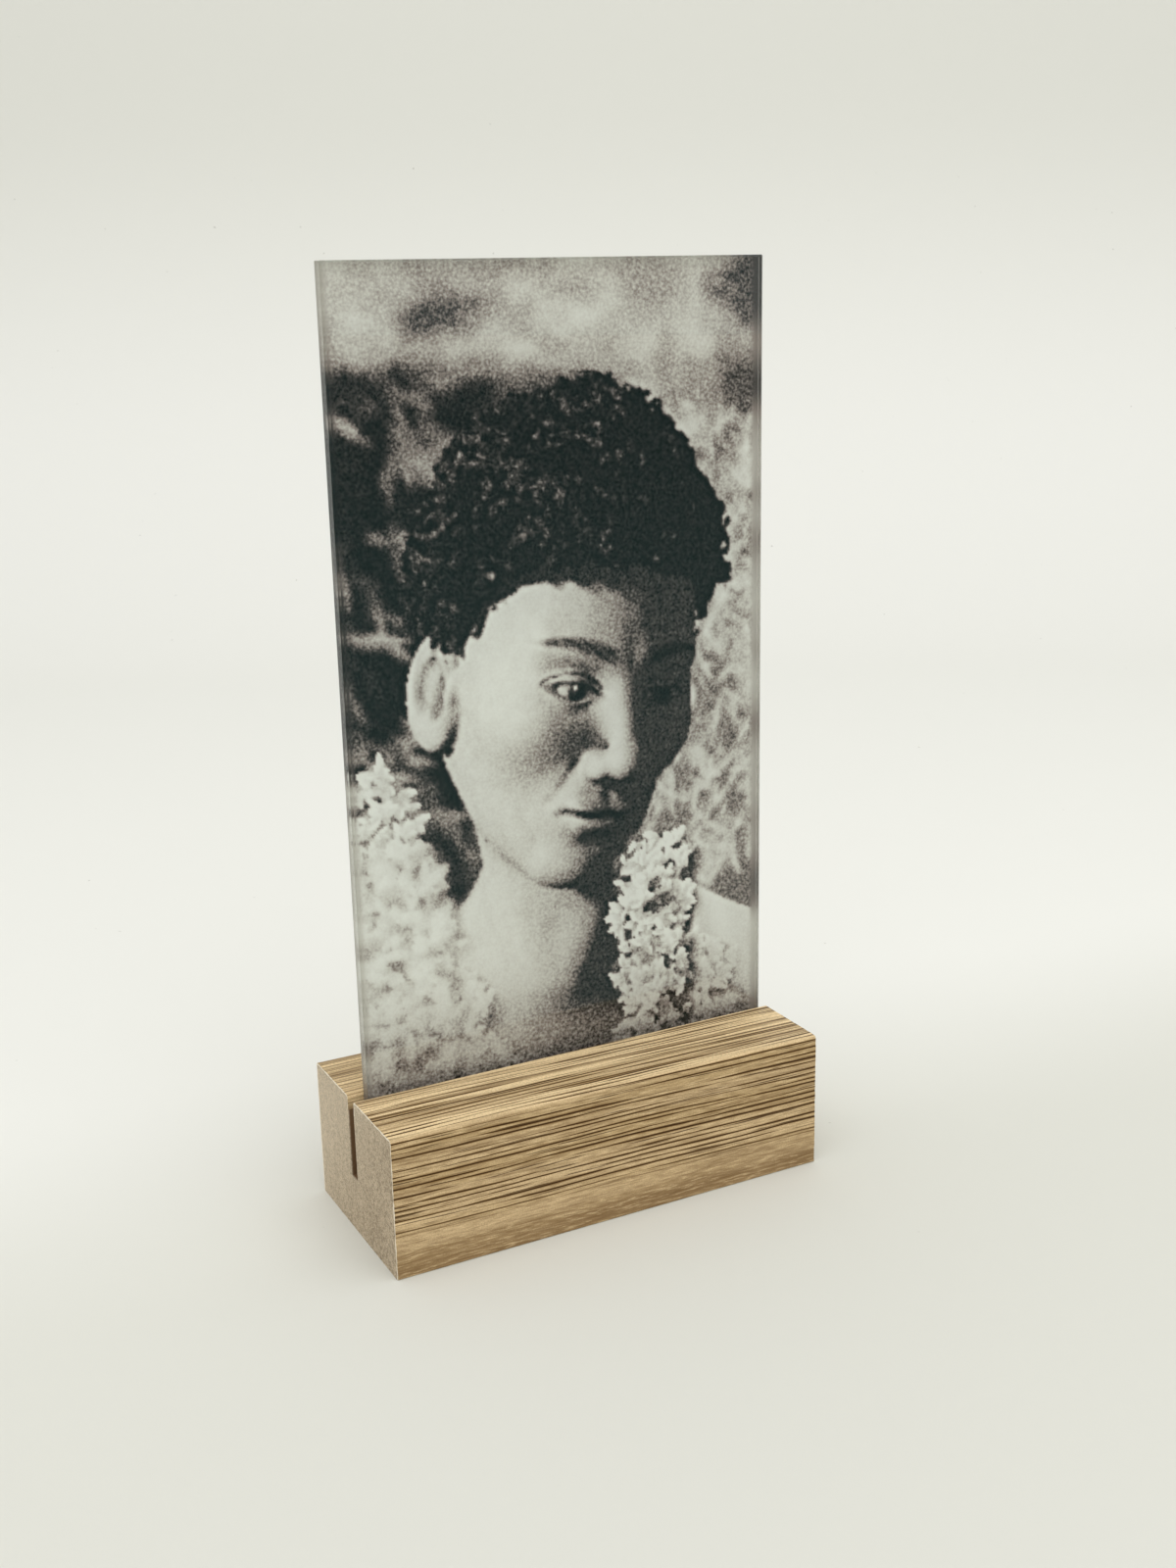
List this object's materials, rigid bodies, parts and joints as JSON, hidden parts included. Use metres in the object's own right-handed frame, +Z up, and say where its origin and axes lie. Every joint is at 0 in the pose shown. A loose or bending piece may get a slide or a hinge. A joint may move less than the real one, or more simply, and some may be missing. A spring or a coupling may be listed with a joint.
{
  "type": "glass photo plaque with wood base",
  "caption": "Upright glass picture pane with ground edges and a print on its back, standing in the slot of a low oak-look bar. The pane lifts out.",
  "frame": {"origin": "middle of the base's underside, on the table", "axes": "+Z up along the pane, +X along the base to the right of someone facing the picture, +Y from the picture to its back"},
  "size_m": [0.105, 0.045, 0.2051],
  "materials": {
    "fibreboard": "sawn, matt",
    "oak_foil": "printed oak grain, satin",
    "glass": "clear float glass, ground edges",
    "print_ink": "toned monochrome print",
    "white_coat": "satin white"
  },
  "bodies": {
    "base": {"base_core": "fibreboard", "front_foil": "oak_foil", "rear_foil": "oak_foil"},
    "pane": {"glass_pane": "glass", "photo_print": "print_ink", "white_backing": "white_coat"}
  },
  "joints": [
    {"name": "pane_lift", "type": "slide", "parent": "base", "child": "pane", "axis": [0, 0, 1], "range_m": [0, 0.025]}
  ]
}
